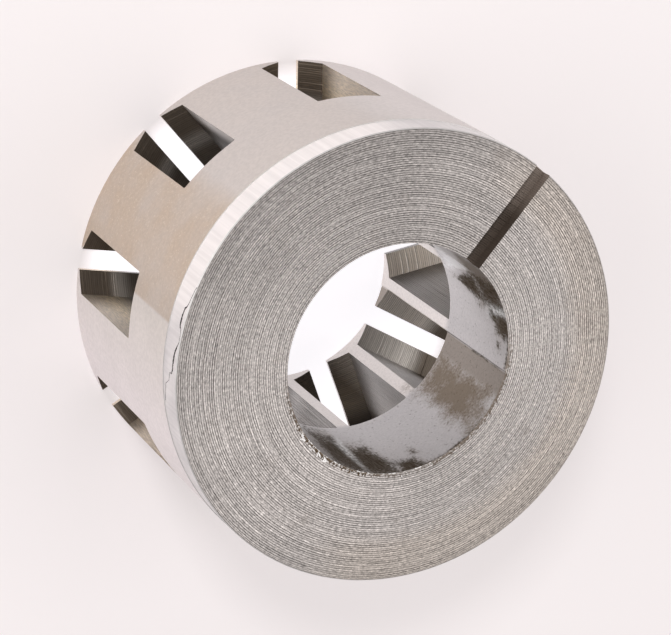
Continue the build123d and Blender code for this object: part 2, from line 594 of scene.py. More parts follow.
def winding(tree, gap_share):
    """Edges of the wound strip on a cut surface, as (turn count, own brightness, drift, gap, dashes).

    Every turn has a brightness of its own that drifts along its length, a dark gap on both sides that
    comes and goes, and short light and dark dashes left by the grinding.
    """
    first, second = pattern_of(tree)
    turn = add(tree, "Math", (first,), operation="FLOOR")
    own = add(tree, "TexWhiteNoise", {"W": turn}, noise_dimensions="1D")
    half_on = add(tree, "Math", (first, 0.5), operation="ADD")
    length_on = add(tree, "Math", (second, DRIFT_LENGTH), operation="DIVIDE")
    along = add(tree, "CombineXYZ", (half_on, length_on))
    drift = add(tree, "TexNoise", {"Vector": along, "Scale": 1.0, "Detail": 3.0, "Roughness": 0.6})
    part = add(tree, "Math", (half_on,), operation="FRACT")
    across = add(tree, "Math", (part, 0.5), operation="SUBTRACT")
    across = add(tree, "Math", (across,), operation="ABSOLUTE")
    line = add(tree, "MapRange", (across, gap_share, gap_share * 0.3), **SMOOTH)
    open_share = add(tree, "MapRange", (drift, 0.35, 0.62, 0.25, 1.0), **SMOOTH)
    gap = add(tree, "Math", (line, open_share), operation="MULTIPLY")
    return first, own, drift, gap, drawn_out(tree, *DASH, 2.0, 0.7)


def round_wave(tree, lobes, peak):
    """Cosine wave round a face across the axis, from its number of lobes and a peak's angle in degrees."""
    arc = pattern_of(tree)[1]
    back = -lobes * np.radians(peak)
    phase = add(tree, "Math", (arc, lobes / MEAN_RADIUS, back), operation="MULTIPLY_ADD")
    return add(tree, "Math", (phase,), operation="COSINE")


def cut_steel(name, metallic, roughness, near, far, dark, spread, gap_share, speck, far_side=None):
    """Finish of a cut surface of the wound strip.

    It has one colour near the bore and one near the outside, a dark one in the gaps, and shares for the
    spread of the turns' brightness, the width of the gaps and the strength of the dashes. The outside
    colour may be held to the side of the face round one angle.
    """
    material, tree, shader = finish(name, metallic, roughness)
    turn, own, drift, gap, dashes = winding(tree, gap_share)
    place = add(tree, "TexCoord", out=3)
    patch = add(tree, "TexNoise", {"Vector": place, "Scale": per_metre(22.22), "Detail": 2.0})
    level = add(tree, "MapRange", (own, 0, 1, 1 - spread, 1 + spread))
    for more in (
        add(tree, "MapRange", (drift, *WIDE, -spread, spread), **SMOOTH),
        add(tree, "MapRange", (dashes, *MIDDLE, -speck, speck)),
        add(tree, "MapRange", (patch, *MIDDLE, -0.05, 0.05), **SMOOTH),
    ):
        level = add(tree, "Math", (level, more), operation="ADD")
    outward = add(tree, "MapRange", (turn, *OUTER_TURNS), **SMOOTH)
    if far_side is not None:
        side = add(tree, "MapRange", (round_wave(tree, 1, far_side), -0.1, 0.3), **SMOOTH)
        outward = add(tree, "Math", (outward, side), operation="MULTIPLY")
    steel = add(tree, "Mix", {0: outward, 6: near, 7: far}, **COLOUR)
    tint = add(tree, "HueSaturation", {"Color": steel, "Value": level})
    return material, tree, shader, turn, add(tree, "Mix", {0: gap, 6: tint, 7: dark}, **COLOUR)


# Painted sheen on the ground face, where its ground marks catch the light: lobes, the angle of a peak in
# degrees, and what the wave adds
PAINTED_SHEEN = ((1, 205, 0.13), (2, 150, 0.1))

# Dirt on the ground face's first turn: where it sets in along X and along Y, in metres
DIRTY_X = (-0.02, -0.031)
DIRTY_Y = (-0.022, -0.03)


def ground_edges(colours):
    """Electrical steel, ground across the wound strip: satin grey edges, dark gaps, dirt at the bore."""
    material, tree, shader, turn, base = cut_steel(
        "electrical_steel_ground_edges", metallic=0.7, roughness=0.5,
        near=colours.ground, far=colours.ground_warm, dark=colours.ground_dark,
        spread=0.1, gap_share=0.2, speck=0.45, far_side=285,
    )
    place = add(tree, "TexCoord", out=3)
    cloud = add(tree, "TexNoise", {
        "Vector": place, "Scale": per_metre(9.09), "Detail": 5.0, "Roughness": 0.7,
    })
    spots = add(tree, "TexNoise", {"Vector": place, "Scale": per_metre(0.769), "Detail": 3.0})
    # painted sheen: the face is brighter round the axis, most towards -X, where its ground marks catch the
    # light; it is also darker in its last turns, and finely mottled
    painted_sheen_and_mottle = 0.98
    for lobes, peak, share in PAINTED_SHEEN:
        painted_sheen_and_mottle = add(tree, "Math", (round_wave(tree, lobes, peak), share, painted_sheen_and_mottle), operation="MULTIPLY_ADD")
    for factor in (
        add(tree, "MapRange", (turn, *LAST_TURNS, 1.02, 0.88)),
        add(tree, "MapRange", (spots, *NARROW, 0.87, 1.13)),
    ):
        painted_sheen_and_mottle = add(tree, "Math", (painted_sheen_and_mottle, factor), operation="MULTIPLY")
    base = add(tree, "HueSaturation", {"Color": base, "Value": painted_sheen_and_mottle})
    # the first turn is dirty, but only on the -X and -Y sides of the bore
    side = add(tree, "Math", (
        add(tree, "MapRange", (add(tree, "SeparateXYZ", (place,)), *DIRTY_X)),
        add(tree, "MapRange", (add(tree, "SeparateXYZ", (place,), out=1), *DIRTY_Y, 0.0, 0.8)),
    ), operation="MAXIMUM")
    reach = add(tree, "Math", (turn, add(tree, "MapRange", (spots, *NARROW, -1.4, 1.4))), operation="ADD")
    rim = add(tree, "Math", (add(tree, "MapRange", (reach, 0.4, -0.4)), side), operation="MULTIPLY")
    film = add(tree, "MapRange", (cloud, 0.54, 0.72, 0.0, 0.15), **SMOOTH)
    mask = add(tree, "Math", (film, rim), operation="MAXIMUM")
    base = add(tree, "Mix", {0: mask, 6: base, 7: colours.dirt}, **COLOUR)
    tree.links.new(base, shader.inputs["Base Color"])
    return material


def notched_edges(colours):
    """Electrical steel, notched across the wound strip: light grey near the bore, brown outside, with painted
    light and shade.
    """
    material, tree, shader, turn, base = cut_steel(
        "electrical_steel_notched_edges", metallic=0.85, roughness=0.36,
        near=colours.slot_bright, far=colours.slot, dark=colours.slot_dark,
        spread=0.03, gap_share=0.1, speck=0.05,
    )
    # painted light and shade: brighter towards -X and duller towards +X where y is negative, dull where y is
    # positive; outside, the slots beside the YZ plane stay brown, the others get painted light with a hatch
    # of marks
    place = add(tree, "TexCoord", out=3)
    across = add(tree, "SeparateXYZ", (place,))
    value = add(tree, "Mix", {
        0: add(tree, "MapRange", (add(tree, "SeparateXYZ", (place,), out=1), *SIDES)),
        2: add(tree, "MapRange", (across, -0.02, 0.012, 1.3, 0.62)), 3: 0.64,
    })
    base = add(tree, "HueSaturation", {"Color": base, "Value": value})
    aside = add(tree, "Math", (across,), operation="ABSOLUTE")
    walls_painted_light = add(tree, "Math", (
        add(tree, "MapRange", (aside, 0.024, 0.034)), add(tree, "MapRange", (turn, *OUTER_TURNS)),
    ), operation="MULTIPLY")
    hatch = drawn_out(tree, *HATCH, 2.0)
    bright = add(tree, "HueSaturation", {
        "Color": colours.slot_walls_painted_light, "Value": add(tree, "MapRange", (hatch, *NARROW, 0.8, 1.25)),
    })
    base = add(tree, "Mix", {0: walls_painted_light, 6: base, 7: bright}, **COLOUR)
    # painted light on the outer ends of the slot walls, less where the whole wall already has it
    rim = add(tree, "Math", (
        add(tree, "MapRange", (turn, *PAINTED_LIGHT_TURNS), **SMOOTH),
        add(tree, "MapRange", (walls_painted_light, 0, 1, 1.0, 0.4)),
    ), operation="MULTIPLY")
    base = add(tree, "Mix", {0: rim, 6: base, 7: colours.slot_ends_painted_light}, **COLOUR)
    tree.links.new(base, shader.inputs["Base Color"])
    return material


def notched_tips(colours):
    """Electrical steel, notched: backs of the tooth tips, pale with painted light on some and dark with
    painted shade on others.
    """
    material, tree, shader, turn, base = cut_steel(
        "electrical_steel_notched_tips", metallic=0.7, roughness=0.42,
        near=colours.tip, far=colours.tip_outer, dark=colours.slot_dark,
        spread=0.04, gap_share=0.1, speck=0.05,
    )
    # painted light towards +X where y is negative, and painted shade towards -X there; where y is positive,
    # painted shade near the bore, which meets the dark colour near the outside
    place = add(tree, "TexCoord", out=3)
    dark = add(tree, "Mix", {
        0: add(tree, "MapRange", (add(tree, "SeparateXYZ", (place,), out=1), *SIDES)),
        2: add(tree, "MapRange", (add(tree, "SeparateXYZ", (place,)), 0.006, -0.016)),
        3: add(tree, "MapRange", (turn, *OUTER_TURNS[::-1]), **SMOOTH),
    })
    shade = add(tree, "Mix", {0: dark, 6: (1, 1, 1), 7: colours.tip_painted_shade}, **COLOUR)
    base = add(tree, "Mix", {0: 1.0, 6: base, 7: shade}, blend_type="MULTIPLY", **COLOUR)
    tree.links.new(base, shader.inputs["Base Color"])
    return material


def milled_groove(colours):
    """Electrical steel, milled and left with dried coolant: dark brown, with the turns just showing."""
    material, tree, shader, _, base = cut_steel(
        "electrical_steel_milled_groove", metallic=0.3, roughness=0.6,
        near=colours.groove, far=colours.groove_end, dark=colours.slot_dark,
        spread=0.03, gap_share=0.08, speck=0.06,
    )
    tree.links.new(base, shader.inputs["Base Color"])
    return material


# Degrees round the axis over which the turned band's painted reflection fades out, before and after its
# near-white part
REFLECTION_FADES_BEFORE = (48, 38)
REFLECTION_FADES_AFTER = (108, 118)


def turned_band(colours):
    """Electrical steel, turned to a bright band: near-white with a painted reflection on part of it, duller
    elsewhere, with fine tool marks.
    """
    material, tree, shader = finish("electrical_steel_turned_band", metallic=0.6, roughness=0.42)
    degrees = add(tree, "Math", (pattern_of(tree)[0], np.degrees(1 / OUTER_RADIUS)), operation="MULTIPLY")
    # painted reflection: the band is near-white from 48 to 108 degrees round the axis, and duller outside
    # that
    out_of_reflection = add(tree, "Math", (
        add(tree, "MapRange", (degrees, *REFLECTION_FADES_BEFORE), **SMOOTH),
        add(tree, "MapRange", (degrees, *REFLECTION_FADES_AFTER), **SMOOTH),
    ), operation="MAXIMUM")
    place = add(tree, "TexCoord", out=3)
    cloud = add(tree, "TexNoise", {"Vector": place, "Scale": per_metre(8.33), "Detail": 3.0})
    uneven = add(tree, "MapRange", (cloud, *MIDDLE, 0.5, 0.8), **SMOOTH)
    out_of_reflection = add(tree, "Math", (out_of_reflection, uneven), operation="MULTIPLY")
    base = add(tree, "Mix", {0: out_of_reflection, 6: colours.band, 7: colours.band_out_of_reflection}, **COLOUR)
    # chatter marks run the whole height of the band
    marks = drawn_out(tree, *CHATTER_MARK, 2.0, 0.6)
    value = add(tree, "MapRange", (marks, *NARROW, 0.93, 1.04))
    tree.links.new(add(tree, "HueSaturation", {"Color": base, "Value": value}), shader.inputs["Base Color"])
    return material


# Places on the outside, in degrees round the axis, over which each look comes in or goes out
TARNISH_IN = (78, 90)
TARNISH_OUT = (117.2, 116.2)
THIN_TARNISH_IN = (39, 48)
TARNISH_DARKENS = (108, 115)
PALE_IN = (116.2, 118)
PALE_OUT = (355, 310)
PALE_GROWS = (118, 146)
PALE_AT_KEY = (42, 30)


def rolled_outside(colours):
    """Electrical steel strip, rolled and coated: matt pinkish grey with a tarnished beige patch."""
    material, tree, shader = finish("electrical_steel_coated_strip", metallic=0.3, roughness=0.5)
    degrees = add(tree, "Math", (pattern_of(tree)[0], np.degrees(1 / OUTER_RADIUS)), operation="MULTIPLY")
    place = add(tree, "TexCoord", out=3)
    fine = add(tree, "TexNoise", {"Vector": place, "Scale": per_metre(1.111), "Detail": 2.0})
    cloud = add(tree, "TexNoise", {
        "Vector": place, "Scale": per_metre(16.67), "Detail": 4.0, "Roughness": 0.6,
    })
    specks = add(tree, "TexNoise", {"Vector": place, "Scale": per_metre(0.588), "Detail": 1.0})
    # a tarnished patch with a sharp end, and a thin film of the same before it
    beige = add(tree, "Math", (
        add(tree, "MapRange", (degrees, *TARNISH_IN), **SMOOTH),
        add(tree, "MapRange", (degrees, *THIN_TARNISH_IN, 0.0, 0.2), **SMOOTH),
    ), operation="MAXIMUM")
    for factor in (
        add(tree, "MapRange", (degrees, *TARNISH_OUT), **SMOOTH),
        add(tree, "MapRange", (cloud, 0.25, 0.7, 0.6, 1.0), **SMOOTH),
    ):
        beige = add(tree, "Math", (beige, factor), operation="MULTIPLY")
    # the rest is paler, but for the stretch on both sides of the key groove
    pale = add(tree, "Math", (
        add(tree, "MapRange", (degrees, *PALE_IN), **SMOOTH),
        add(tree, "MapRange", (degrees, *PALE_OUT, 0.25, 1.0), **SMOOTH),
    ), operation="MULTIPLY")
    at_key = add(tree, "MapRange", (degrees, *PALE_AT_KEY, 0.0, 0.25), **SMOOTH)
    pale = add(tree, "Math", (pale, at_key), operation="MAXIMUM")
    palest = add(tree, "Math", (
        add(tree, "MapRange", (degrees, 60, 50)), add(tree, "MapRange", (degrees, *PALE_GROWS)),
    ), operation="MAXIMUM")
    light = add(tree, "Mix", {0: palest, 6: colours.outer_light, 7: colours.outer_pale}, **COLOUR)
    base = add(tree, "Mix", {0: pale, 6: colours.outer, 7: light}, **COLOUR)
    base = add(tree, "Mix", {0: beige, 6: base, 7: colours.outer_beige}, **COLOUR)
    flecked = add(tree, "MapRange", (specks, 0.6, 0.7, 0.0, 0.3))
    flecked = add(tree, "Math", (beige, flecked), operation="MULTIPLY")
    base = add(tree, "Mix", {0: flecked, 6: base, 7: colours.speck}, **COLOUR)
    value = add(tree, "Math", (
        add(tree, "MapRange", (fine, *NARROW, 0.955, 1.045)),
        add(tree, "MapRange", (cloud, *MIDDLE, -0.03, 0.03)),
    ), operation="ADD")
    darker = add(tree, "MapRange", (degrees, *TARNISH_DARKENS, 0.0, 0.09))
    darker = add(tree, "Math", (beige, darker), operation="MULTIPLY")
    value = add(tree, "Math", (value, darker), operation="SUBTRACT")
    tree.links.new(add(tree, "HueSaturation", {"Color": base, "Value": value}), shader.inputs["Base Color"])
    return material


# Runs on the bore's wall, each from a top to a foot: the top's angle in degrees, its height in millimetres
# and its half width in degrees, then the same of the foot. The last number draws the border in, so that
# only specks are left.
STAINS = (
    (-135, 87, 40, -135, 83.4, 40, 0.1),
    (-54, 87, 8, -54, 83.2, 8, 0.1),
    (-164, 86, 10, -159, 53, 6, 0.05),
    (-146.5, 86, 10, -145.5, 64, 5, 0),
    (-132, 86, 8, -131, 77, 5, 0.15),
    (-63.9, 87, 1.3, -63.7, 55, 1, 0.82),
    (-124, 79, 6, -124, 68, 4, 0.95),
    (-41.5, 86, 6, -42, 77, 5, 0),
    (-41, 80, 6, -38, 71, 4, 0.55),
    (-54, 81, 6, -52, 75, 5, 0.9),
    (-24, 87, 8, -26.5, 69, 8.5, 0),
    (-26.5, 70, 8.5, -29.3, 56, 1.2, 0),
)
FILMS = (
    (-85.5, 83, 11.5, -86, 46, 11.5, 0),
    (-17, 86, 15, -12.5, 66, 7, 0),
)
# Painted highlights: near-white streaks beside the oil, drawn like the runs above
GLARES = (
    (-32, 85, 2, -37, 73, 4, 0),
    (-154.5, 80, 1.5, -153.5, 58, 3, 0),
    (-16.5, 69, 0.7, -20, 50, 6, 0),
)

# Other places in the bore: degrees over which the worn patch comes in and goes out, heights in millimetres
# over which the tooth ends begin, and degrees over which painted light changes the brightness by a share
WORN_IN = (280, 287)
WORN_OUT = (297, 296)
TOOTH_ENDS = (48, 44)
PAINTED_LIGHT_RAMPS = ((255, 285, 1.22), (305, 328, 1.12), (350, 362, 0.732))


def run_distance(tree, degrees, height, runs):
    """Distance from the nearest of several tapering runs on the unrolled bore: 1 is at its border.

    Beside a run's middle line it is the distance in half widths, and along it the distance from the
    middle of its height in half lengths, whichever is more.
    """
    nearest = 10.0
    for top_angle, top, top_half, foot_angle, foot, foot_half, drawn_in in runs:
        middle = add(tree, "MapRange", (height, top, foot, top_angle + 360, foot_angle + 360))
        half = add(tree, "MapRange", (height, top, foot, top_half, foot_half))
        side = add(tree, "Math", (degrees, middle), operation="SUBTRACT")
        side = add(tree, "Math", (side,), operation="ABSOLUTE")
        side = add(tree, "Math", (side, half), operation="DIVIDE")
        up = add(tree, "Math", (height, (top + foot) / 2), operation="SUBTRACT")
        up = add(tree, "Math", (up,), operation="ABSOLUTE")
        up = add(tree, "Math", (up, (top - foot) / 2), operation="DIVIDE")
        reach = add(tree, "Math", (side, up), operation="MAXIMUM")
        reach = add(tree, "Math", (reach, drawn_in), operation="ADD")
        nearest = add(tree, "Math", (reach, nearest), operation="MINIMUM")
    return nearest


def ragged_mask(tree, distance, noises, border, strength):
    """Share of a run's colour: full inside, none outside, with the border moved by noises of given widths."""
    for noise, width in noises:
        moved = add(tree, "MapRange", (noise, *MIDDLE, -width, width))
        distance = add(tree, "Math", (distance, moved), operation="ADD")
    return add(tree, "MapRange", (distance, 1 + border, 1 - border, 0.0, strength), **SMOOTH)


def rolled_bore(colours):
    """Electrical steel strip, rolled: satin grey with a fine grain, dried oil in dark brown runs, painted
    highlights and painted light.
    """
    metallic, roughness = 0.85, 0.34
    material, tree, shader = finish("electrical_steel_rolled_bore", metallic, roughness)
    shader.inputs["Specular IOR Level"].default_value = 0.15
    first, height = pattern_of(tree)
    degrees = add(tree, "Math", (first, np.degrees(1 / BORE_RADIUS)), operation="MULTIPLY")
    place = add(tree, "TexCoord", out=3)
    fine = add(tree, "TexNoise", {"Vector": place, "Scale": per_metre(0.6667), "Detail": 2.0})
    rough = add(tree, "TexNoise", {
        "Vector": place, "Scale": per_metre(4.348), "Detail": 6.0, "Roughness": 0.75,
    })
    spots = add(tree, "TexNoise", {"Vector": place, "Scale": per_metre(0.7143), "Detail": 2.0})
    broad = add(tree, "TexNoise", {"Vector": place, "Scale": per_metre(6.667), "Detail": 4.0})
    streaks = drawn_out(tree, *ROLLING_STREAK, 3.0, 0.6)
    # dried oil, brown films round it and on the worn patch, and painted highlights beside the oil
    oil = run_distance(tree, degrees, height, STAINS)
    dark = ragged_mask(tree, oil, ((rough, 0.35), (spots, 0.3), (streaks, 0.3)), 0.45, 1.0)
    streaked = add(tree, "MapRange", (streaks, *NARROW, 0.7, 1.0))
    dark = add(tree, "Math", (dark, streaked), operation="MULTIPLY")
    film = run_distance(tree, degrees, height, FILMS)
    soft = add(tree, "Math", (
        ragged_mask(tree, film, ((broad, 0.3), (spots, 0.2)), 0.55, 0.95),
        ragged_mask(tree, oil, ((broad, 0.3), (spots, 0.2)), 0.6, 0.7),
    ), operation="MAXIMUM")
    worn = add(tree, "Math", (
        add(tree, "MapRange", (degrees, *WORN_IN), **SMOOTH),
        add(tree, "MapRange", (degrees, *WORN_OUT, 0.0, 0.72)),
    ), operation="MULTIPLY")
    soft = add(tree, "Math", (soft, worn), operation="MAXIMUM")
    shine = run_distance(tree, degrees, height, GLARES)
    shine = ragged_mask(tree, shine, ((streaks, 0.3), (spots, 0.2)), 0.6, 0.9)
    teeth = add(tree, "MapRange", (height, *TOOTH_ENDS), **SMOOTH)
    pits = add(tree, "Math", (
        add(tree, "MapRange", (spots, 0.36, 0.3, 0.0, 0.4)), add(tree, "MapRange", (teeth, 0, 1, 1, 0)),
    ), operation="MULTIPLY")
    stained = add(tree, "Math", (pits, dark), operation="MAXIMUM")
    base = colours.bore
    # the pale tooth ends are painted light, and the glare streaks are painted highlights
    for share, code in (
        (teeth, colours.tooth_ends_painted_light), (soft, colours.stain_soft),
        (shine, colours.glare), (stained, colours.stain),
    ):
        base = add(tree, "Mix", {0: share, 6: base, 7: code}, **COLOUR)
    # painted light: a little brighter towards -Y and +X, and back to the plain brightness at the key groove
    value = add(tree, "MapRange", (fine, 0.2, 0.8, 0.9, 1.1))
    for start, end, share in PAINTED_LIGHT_RAMPS:
        ramp = add(tree, "MapRange", (degrees, start, end, 1.0, share))
        value = add(tree, "Math", (value, ramp), operation="MULTIPLY")
    value = add(tree, "Math", (value, 0.82), operation="MULTIPLY")
    tree.links.new(add(tree, "HueSaturation", {"Color": base, "Value": value}), shader.inputs["Base Color"])
    tree.links.new(add(tree, "MapRange", (dark, 0, 1, metallic, 0.1)), shader.inputs["Metallic"])
    tree.links.new(add(tree, "MapRange", (dark, 0, 1, roughness, 0.7)), shader.inputs["Roughness"])
    return material


def mottled(material, tree, shader, base, width, spread):
    """The same material, with its colour mottled by grains of one width and a spread of their brightness."""
    place = add(tree, "TexCoord", out=3)
    mottle = add(tree, "TexNoise", {"Vector": place, "Scale": per_metre(width), "Detail": 3.0})
    value = add(tree, "MapRange", (mottle, *MIDDLE, 1 - spread, 1 + spread))
    tree.links.new(add(tree, "HueSaturation", {"Color": base, "Value": value}), shader.inputs["Base Color"])
    return material


def broken_edge(colours):
    """Electrical steel, chamfered by a file: satin grey and lightly mottled."""
    made = finish("electrical_steel_broken_edge", metallic=0.6, roughness=0.45)
    return mottled(*made, colours.edge, width=3.33, spread=0.08)


def open_seam(colours):
    """Electrical steel, torn open along the outer turn: near-black in the gap."""
    made = finish("electrical_steel_open_seam", metallic=0.2, roughness=0.7)
    return mottled(*made, colours.seam, width=1.111, spread=0.3)


def torn_burrs(colours):
    """Electrical steel, torn by the grinding: bright on the -X side, brown with dirt towards -Y."""
    material, tree, shader = finish("electrical_steel_torn_burrs", metallic=0.3, roughness=0.45)
    place = add(tree, "TexCoord", out=3)
    dirty = add(tree, "MapRange", (add(tree, "SeparateXYZ", (place,)), -0.022, -0.008, 0.0, 0.85), **SMOOTH)
    base = add(tree, "Mix", {0: dirty, 6: colours.burr, 7: colours.dirt}, **COLOUR)
    return mottled(material, tree, shader, base, width=1.111, spread=0.12)


# Open end of the outer turn on the band: angle in degrees, then height and half width in millimetres
SEAM = (
    (105.2, 83.8, 0.05), (109.6, 83.2, 0.08), (110.5, 82.7, 0.2), (111, 81.9, 0.3), (113.3, 81.6, 0.36),
    (114.9, 81.8, 0.4), (115.6, 82.1, 0.25), (115.8, 82.8, 0.06), (117.2, 83.4, 0.04), (118.9, 83.6, 0.06),
    (120.3, 82.7, 0.2), (121.7, 81.9, 0.34), (123, 81.6, 0.45), (124.6, 81.4, 0.36), (126.3, 81.4, 0.3),
    (127.4, 80.8, 0.16), (127.4, 79.6, 0.06), (129.5, 79, 0.05), (130.9, 76.6, 0.05), (135.6, 75.4, 0.04),
)

# Torn burrs at the bore's edge, shred by shred: both ends and the half width, in millimetres
SHREDS = (
    ((-32.0, 10.5), (-32.6, 9.3), 0.2),
    ((-33.5, 9.8), (-32.4, 9.4), 0.18),
    ((-33.0, 9.5), (-33.0, 8.5), 0.26),
    ((-34.7, 2.4), (-33.2, 2.9), 0.14),
    ((-33.3, 2.9), (-34.2, 1.4), 0.16),
    ((-33.4, 0.2), (-34.7, -0.1), 0.2),
    ((-33.7, -0.6), (-34.6, -0.5), 0.22),
    ((-34.9, 0.6), (-34.3, -0.8), 0.13),
    ((-33.6, 0.4), (-34.2, -0.9), 0.18),
)


def ribbon(middle, aside, up, half, low, high):
    """Points and quads of a closed ribbon with four corners to a section.

    A corner lies at the middle, plus or minus the half width along one direction, plus the low or the
    high level along the other. All are arrays with one row for each section.
    """
    section = [middle + aside * (side * half)[:, None] + up * level[:, None]
               for side, level in ((-1, low), (1, low), (1, high), (-1, high))]
    ring = np.arange(len(middle))[:, None] * 4 + np.arange(4)
    following = np.roll(ring, -1, axis=1)
    sides = np.stack([ring[:-1], following[:-1], following[1:], ring[1:]], -1).reshape(-1, 4)
    return np.stack(section, 1).reshape(-1, 3), np.concatenate([sides, ring[:1, ::-1], ring[-1:]])


def joined(parts):
    """One pair of points and quads from several."""
    starts = np.cumsum([0] + [len(points) for points, _ in parts])
    return (
        np.concatenate([points for points, _ in parts]),
        np.concatenate([quads + start for (_, quads), start in zip(parts, starts)]),
    )


# The seam's ribbon: in millimetres its step along the seam, its stray in height, and its two levels against
# the band, then the range of the shares that vary its half width
SEAM_STEP = 0.2
SEAM_STRAY = 0.04
SEAM_LEVELS = (-0.1, 0.03)
SEAM_WIDTHS = (0.6, 1.2)


def seam_ribbon(sizes):
    """Dark ribbon laid into the band along the seam, through its points by arc length."""
    rng = np.random.default_rng(SEED)
    register = sizes.outer_radius - sizes.band_step
    corners = np.array(SEAM, float)
    flat = np.stack([np.radians(corners[:, 0]) * register, corners[:, 1] * MM, corners[:, 2] * MM], 1)
    run = np.concatenate([[0], np.cumsum(np.linalg.norm(np.diff(flat[:, :2], axis=0), axis=1))])
    along = np.linspace(0, run[-1], int(run[-1] / (SEAM_STEP * MM)))
    arc, height, half = (np.interp(along, run, flat[:, i]) for i in range(3))
    height = height + rng.normal(0, SEAM_STRAY * MM, len(along))
    half = half * rng.uniform(*SEAM_WIDTHS, len(along))
    theta = arc / register
    # on the broken edge the ribbon leans in with it
    wall = register - np.clip(height - (sizes.core_length - sizes.chamfer), 0, sizes.chamfer)
    out = np.stack([np.cos(theta), np.sin(theta), np.zeros_like(theta)], 1)
    middle = out * wall[:, None]
    middle[:, 2] = height
    slant = np.gradient(np.stack([arc, height], 1), axis=0)
    slant /= np.linalg.norm(slant, axis=1, keepdims=True)
    across = np.stack([-np.sin(theta) * -slant[:, 1], np.cos(theta) * -slant[:, 1], slant[:, 0]], 1)
    low, high = (np.full(len(along), level * MM) for level in SEAM_LEVELS)
    return ribbon(middle, across, out, half, low, high)


# Crumbs beside the shreds: how many, and the ranges of their angles in degrees, and in millimetres of their
# radii, of the way from end to end along X and along Y, and of their half widths
CRUMBS = 34
CRUMB_ANGLES = (150, 262)
CRUMB_RADII = (BORE_RADIUS + 0.1, BORE_RADIUS + 1.3)
CRUMB_REACH = (-0.35, 0.35)
CRUMB_WIDTHS = (0.06, 0.16)

# Sections of a shred, its greatest thickness in millimetres, and shares of its half width: where it starts
# to rise, how far it rises, and how much its sections differ
SHRED_SECTIONS = 12
SHRED_THICKNESS = 0.12
SHRED_START = 0.15
SHRED_RISE = 0.9
SHRED_WIDTHS = (0.6, 1.15)

# Ridge along the bore's edge: degrees, sections and lobes of the waves that swell it, then in millimetres its
# place outside the bore's wall, its stray from there, its least half width, its growth and its foot, and
# last its height as a share of its half width
RIDGE_ANGLES = (158, 292)
RIDGE_SECTIONS = 700
RIDGE_LOBES = (23, 57, 131)
RIDGE_PLACE = 0.1
RIDGE_STRAY = 0.03
RIDGE_HALF = 0.015
RIDGE_GROWTH = 0.1
RIDGE_FOOT = -0.1
RIDGE_HEIGHT_SHARE = 0.8


def shred_ribbon(rng, start, end, half_width, top):
    """Curled flake of steel, which rises with the square of the way along it.

    Its ends are rounded off: the half width is 1.15 less the eighth power of the distance from its
    middle in half lengths, held between 0.3 and 1, times a share of chance.
    """
    share = np.linspace(0, 1, SHRED_SECTIONS)
    start, end = np.array(start), np.array(end)
    way = (end - start) / np.linalg.norm(end - start)
    flat = start + (end - start) * share[:, None]
    middle = np.column_stack([flat * MM, np.full(SHRED_SECTIONS, top)])
    rise = half_width * MM * (SHRED_START + SHRED_RISE * share ** 2)
    across = np.tile([-way[1], way[0], 0.0], (SHRED_SECTIONS, 1))
    rounded = np.clip(1.15 - (2 * share - 1) ** 8, 0.3, 1)
    half = half_width * MM * rounded * rng.uniform(*SHRED_WIDTHS, SHRED_SECTIONS)
    thickness = min(SHRED_THICKNESS, half_width) * MM
    upright = np.tile([0.0, 0.0, 1.0], (SHRED_SECTIONS, 1))
    return ribbon(middle, across, upright, half, rise - thickness, rise)


def ridge_ribbon(rng, sizes):
    """Ragged ridge on the bore's edge.

    Its half width is the least one plus the growth times the sum of three sine waves, held between 0
    and 2, and times a share of chance at every section.
    """
    theta = np.linspace(*np.radians(RIDGE_ANGLES), RIDGE_SECTIONS)
    out = np.stack([np.cos(theta), np.sin(theta), np.zeros_like(theta)], 1)
    upright = np.tile([0.0, 0.0, 1.0], (RIDGE_SECTIONS, 1))
    phases = rng.uniform(0, 2 * np.pi, len(RIDGE_LOBES))
    swell = np.sin(theta[:, None] * np.array(RIDGE_LOBES) + phases).sum(1)
    ragged = np.clip(swell, 0, 2) * rng.uniform(0.2, 1.0, RIDGE_SECTIONS)
    place = RIDGE_PLACE + RIDGE_STRAY * rng.normal(0, 1, RIDGE_SECTIONS)
    middle = out * (sizes.bore_radius + place[:, None] * MM) + upright * sizes.core_length
    half = (RIDGE_HALF + RIDGE_GROWTH * ragged) * MM
    foot = np.full(RIDGE_SECTIONS, RIDGE_FOOT * MM)
    return ribbon(middle, -out, upright, half, foot, half * RIDGE_HEIGHT_SHARE)


def burr_ribbons(sizes):
    """Torn burrs on the bore's edge: the shreds, scattered crumbs and a ragged ridge on its -X side."""
    rng = np.random.default_rng(SEED + 1)
    angles = np.radians(rng.uniform(*CRUMB_ANGLES, CRUMBS))
    places = [np.array([np.cos(a), np.sin(a)]) * rng.uniform(*CRUMB_RADII) for a in angles]
    crumbs = [(p, p + rng.uniform(*CRUMB_REACH, 2), rng.uniform(*CRUMB_WIDTHS)) for p in places]
    parts = [shred_ribbon(rng, *flake, sizes.core_length) for flake in list(SHREDS) + crumbs]
    return joined(parts + [ridge_ribbon(rng, sizes)])


class STATOR_OT_core(bpy.types.Operator):
    """Build the wound, slotted ring with its finishes"""

    bl_idname = "stator.core"
    bl_label = "Wound core"

    def execute(self, context):
        sizes, colours = context.scene.stator_sizes, context.scene.stator_colours
        columns, points, theta, r, z, lines, level_of = core_grid(sizes)
        quads, finishes, patterns = core_faces(columns, points, theta, r, z, lines, level_of, sizes)
        materials = [
            ground_edges(colours), milled_groove(colours), notched_edges(colours),
            rolled_bore(colours), rolled_outside(colours), turned_band(colours), broken_edge(colours),
            notched_tips(colours),
        ]
        core = solid_mesh("core", points.reshape(-1, 3), quads, finishes, patterns, materials, CORE_SHARP)
        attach(core, "root")
        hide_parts("wound_core")
        return {"FINISHED"}


